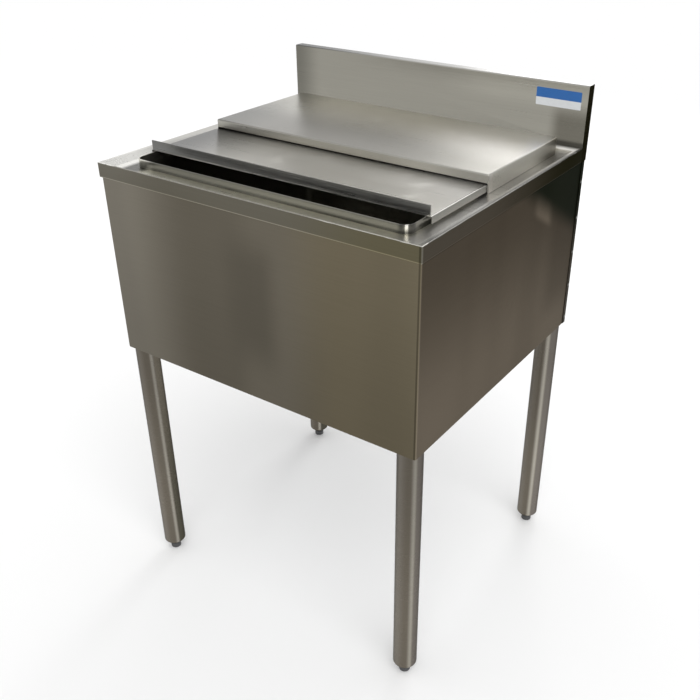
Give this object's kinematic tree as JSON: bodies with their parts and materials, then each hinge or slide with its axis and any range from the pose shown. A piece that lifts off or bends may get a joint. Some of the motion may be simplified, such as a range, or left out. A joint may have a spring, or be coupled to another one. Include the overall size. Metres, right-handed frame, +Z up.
{
  "type": "underbar ice bin",
  "caption": "Insulated stainless underbar ice bin on tubular legs, with backsplash, collared well, sliding front cover and lift-off rear cover.",
  "frame": {"origin": "floor level under the middle of the footprint", "axes": "+Z up, front towards -Y, +X towards the right end as seen from the front"},
  "size_m": [0.6096, 0.5334, 0.9144],
  "materials": {
    "deck_and_backsplash": "brushed, number 4",
    "casing_wrap": "brushed, grain along the sheet",
    "rear_panel": "galvanised, unpolished",
    "base_tray": "galvanised, unpolished",
    "ice_liner": "brushed, coved",
    "foam_insulation": "closed-cell foam",
    "drain_gasket": "smooth",
    "drain_nipple": "turned",
    "drain_strainer": "punched, polished",
    "drain_washer": "stamped",
    "drain_locknut": "machined",
    "front_cover": "brushed, fine grain",
    "rear_cover": "brushed, fine grain",
    "leg_gusset": "plated",
    "leg_tube": "brushed tube",
    "leg_end": "turned, satin",
    "leg_set_screws": "plated",
    "foot_tip": "moulded, satin"
  },
  "bodies": {
    "bin": {"deck_and_backsplash": "deck_and_backsplash", "backsplash_end_right": "deck_and_backsplash", "backsplash_end_left": "deck_and_backsplash", "casing_wrap": "casing_wrap", "rear_panel": "rear_panel", "base_tray": "base_tray", "ice_liner": "ice_liner", "foam_insulation": "foam_insulation", "drain_gasket": "drain_gasket", "drain_nipple": "drain_nipple", "drain_strainer": "drain_strainer", "drain_washer": "drain_washer", "drain_locknut": "drain_locknut", "leg_gusset_front_left": "leg_gusset", "leg_tube_front_left": "leg_tube", "leg_end_front_left": "leg_end", "leg_gusset_front_right": "leg_gusset", "leg_tube_front_right": "leg_tube", "leg_end_front_right": "leg_end", "leg_gusset_rear_left": "leg_gusset", "leg_tube_rear_left": "leg_tube", "leg_end_rear_left": "leg_end", "leg_gusset_rear_right": "leg_gusset", "leg_tube_rear_right": "leg_tube", "leg_end_rear_right": "leg_end", "leg_set_screws": "leg_set_screws"},
    "front_cover": {"front_cover": "front_cover"},
    "rear_cover": {"rear_cover": "rear_cover"},
    "foot_front_left": {"foot_front_left": "foot_tip"},
    "foot_front_right": {"foot_front_right": "foot_tip"},
    "foot_rear_left": {"foot_rear_left": "foot_tip"},
    "foot_rear_right": {"foot_rear_right": "foot_tip"}
  },
  "joints": [
    {"name": "front_cover_slide", "type": "slide", "parent": "bin", "child": "front_cover", "axis": [0, 1, 0], "range_m": [-0.0455, 0.155]},
    {"name": "rear_cover_lift", "type": "slide", "parent": "bin", "child": "rear_cover", "axis": [0, 0, 1], "range_m": [0, 0.12]},
    {"name": "foot_front_left_adjust", "type": "slide", "parent": "bin", "child": "foot_front_left", "axis": [0, 0, -1], "range_m": [-0.001, 0.025]},
    {"name": "foot_front_right_adjust", "type": "slide", "parent": "bin", "child": "foot_front_right", "axis": [0, 0, -1], "range_m": [-0.001, 0.025]},
    {"name": "foot_rear_left_adjust", "type": "slide", "parent": "bin", "child": "foot_rear_left", "axis": [0, 0, -1], "range_m": [-0.001, 0.025]},
    {"name": "foot_rear_right_adjust", "type": "slide", "parent": "bin", "child": "foot_rear_right", "axis": [0, 0, -1], "range_m": [-0.001, 0.025]}
  ]
}
